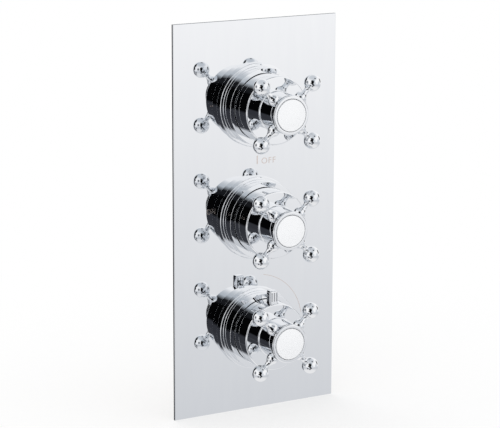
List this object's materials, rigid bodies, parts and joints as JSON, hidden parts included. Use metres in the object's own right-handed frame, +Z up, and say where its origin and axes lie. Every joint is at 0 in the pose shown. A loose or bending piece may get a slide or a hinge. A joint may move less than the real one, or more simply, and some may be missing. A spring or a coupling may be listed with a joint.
{
  "type": "thermostatic shower valve",
  "caption": "Concealed thermostatic shower valve: cross handles with ball-ended spokes on a tall polished plate, with the brass casting and its cartridges behind the wall.",
  "frame": {"origin": "centre of the wall plane, the back face of the plate's foam seal, where the middle handle's axis crosses it", "axes": "+X to the user's right, +Y into the wall along the handles' axes, +Z up along the plate's long side"},
  "size_m": [0.138, 0.1036, 0.3],
  "materials": {
    "plate_chrome": "mirror-polished chrome on sheet brass",
    "chrome": "polished chrome on turned brass",
    "white_ceramic": "glazed white ceramic",
    "cast_brass": "sand-cast brass",
    "raw_brass": "turned brass",
    "copper": "drawn copper",
    "steel": "stainless steel",
    "white_plastic": "moulded acetal",
    "black_plastic": "moulded glass-filled nylon",
    "seal_rubber": "EPDM rubber",
    "foam": "closed-cell foam",
    "fibre": "pressed fibre",
    "alumina": "lapped alumina ceramic"
  },
  "bodies": {
    "valve": {"front_plate": "plate_chrome", "plate_seal": "foam", "extension_sleeves": "raw_brass", "collar_rings": "seal_rubber", "valve_body": "cast_brass", "duct_plug": "raw_brass", "hot_inlet_union": "raw_brass", "cold_inlet_union": "raw_brass", "side_outlet_union": "raw_brass", "top_outlet_union": "raw_brass", "union_washers": "fibre", "inlet_strainers": "steel", "hot_check_cage": "white_plastic", "cold_check_cage": "white_plastic", "hot_check_spring": "steel", "cold_check_spring": "steel", "top_collar": "chrome", "middle_collar": "chrome", "bottom_collar": "chrome", "top_cartridge_body": "raw_brass", "middle_cartridge_body": "raw_brass", "fixed_discs": "alumina", "seat_seals": "seal_rubber", "gland_rings": "seal_rubber", "thermostat_body": "raw_brass", "return_spring": "steel", "temperature_stop_ring": "chrome"},
    "top_handle": {"top_handle_body": "chrome", "top_spokes": "chrome", "top_cap": "white_ceramic", "top_bezel": "chrome", "top_handle_screw": "steel", "top_spline_adaptor": "black_plastic", "top_spindle": "raw_brass", "top_moving_disc": "alumina"},
    "middle_handle": {"middle_handle_body": "chrome", "middle_spokes": "chrome", "middle_cap": "white_ceramic", "middle_bezel": "chrome", "middle_handle_screw": "steel", "middle_spline_adaptor": "black_plastic", "middle_spindle": "raw_brass", "middle_moving_disc": "alumina"},
    "temperature_handle": {"bottom_handle_body": "chrome", "bottom_spokes": "chrome", "bottom_cap": "white_ceramic", "bottom_bezel": "chrome", "bottom_handle_screw": "steel", "bottom_spline_adaptor": "black_plastic", "temperature_spindle": "raw_brass", "button_spring": "steel"},
    "safety_button": {"safety_button": "chrome"},
    "thermostat": {"drive_nut": "raw_brass", "wax_element": "copper", "shuttle": "black_plastic"},
    "hot_check": {"hot_check_poppet": "black_plastic"},
    "cold_check": {"cold_check_poppet": "black_plastic"}
  },
  "joints": [
    {"name": "top_handle_turn", "type": "hinge", "parent": "valve", "child": "top_handle", "pos_m": [0, 0, 0.086], "axis": [0, -1, 0], "range_deg": [0, 90]},
    {"name": "middle_handle_turn", "type": "hinge", "parent": "valve", "child": "middle_handle", "pos_m": [0, 0, 0], "axis": [0, -1, 0], "range_deg": [0, 90]},
    {"name": "temperature_turn", "type": "hinge", "parent": "valve", "child": "temperature_handle", "pos_m": [0, 0, -0.086], "axis": [0, 1, 0], "range_deg": [-35, 90]},
    {"name": "safety_button_press", "type": "slide", "parent": "temperature_handle", "child": "safety_button", "axis": [0, 0, -1], "range_m": [0, 0.0022], "stiffness_N_per_m": 400, "springref_m": -0.002, "deforming": ["button_spring"]},
    {"name": "thermostat_slide", "type": "slide", "parent": "valve", "child": "thermostat", "axis": [0, 1, 0], "range_m": [-0.00105, 0.00045], "deforming": ["return_spring"]},
    {"name": "hot_check_lift", "type": "slide", "parent": "valve", "child": "hot_check", "axis": [1, 0, 0], "range_m": [0, 0.0012], "stiffness_N_per_m": 150, "springref_m": -0.002, "deforming": ["hot_check_spring"]},
    {"name": "cold_check_lift", "type": "slide", "parent": "valve", "child": "cold_check", "axis": [-1, 0, 0], "range_m": [0, 0.0012], "stiffness_N_per_m": 150, "springref_m": -0.002, "deforming": ["cold_check_spring"]}
  ],
  "couplings": [
    {"joint": "thermostat_slide", "follows": "temperature_turn", "m_per_rad": -0.00063662}
  ]
}
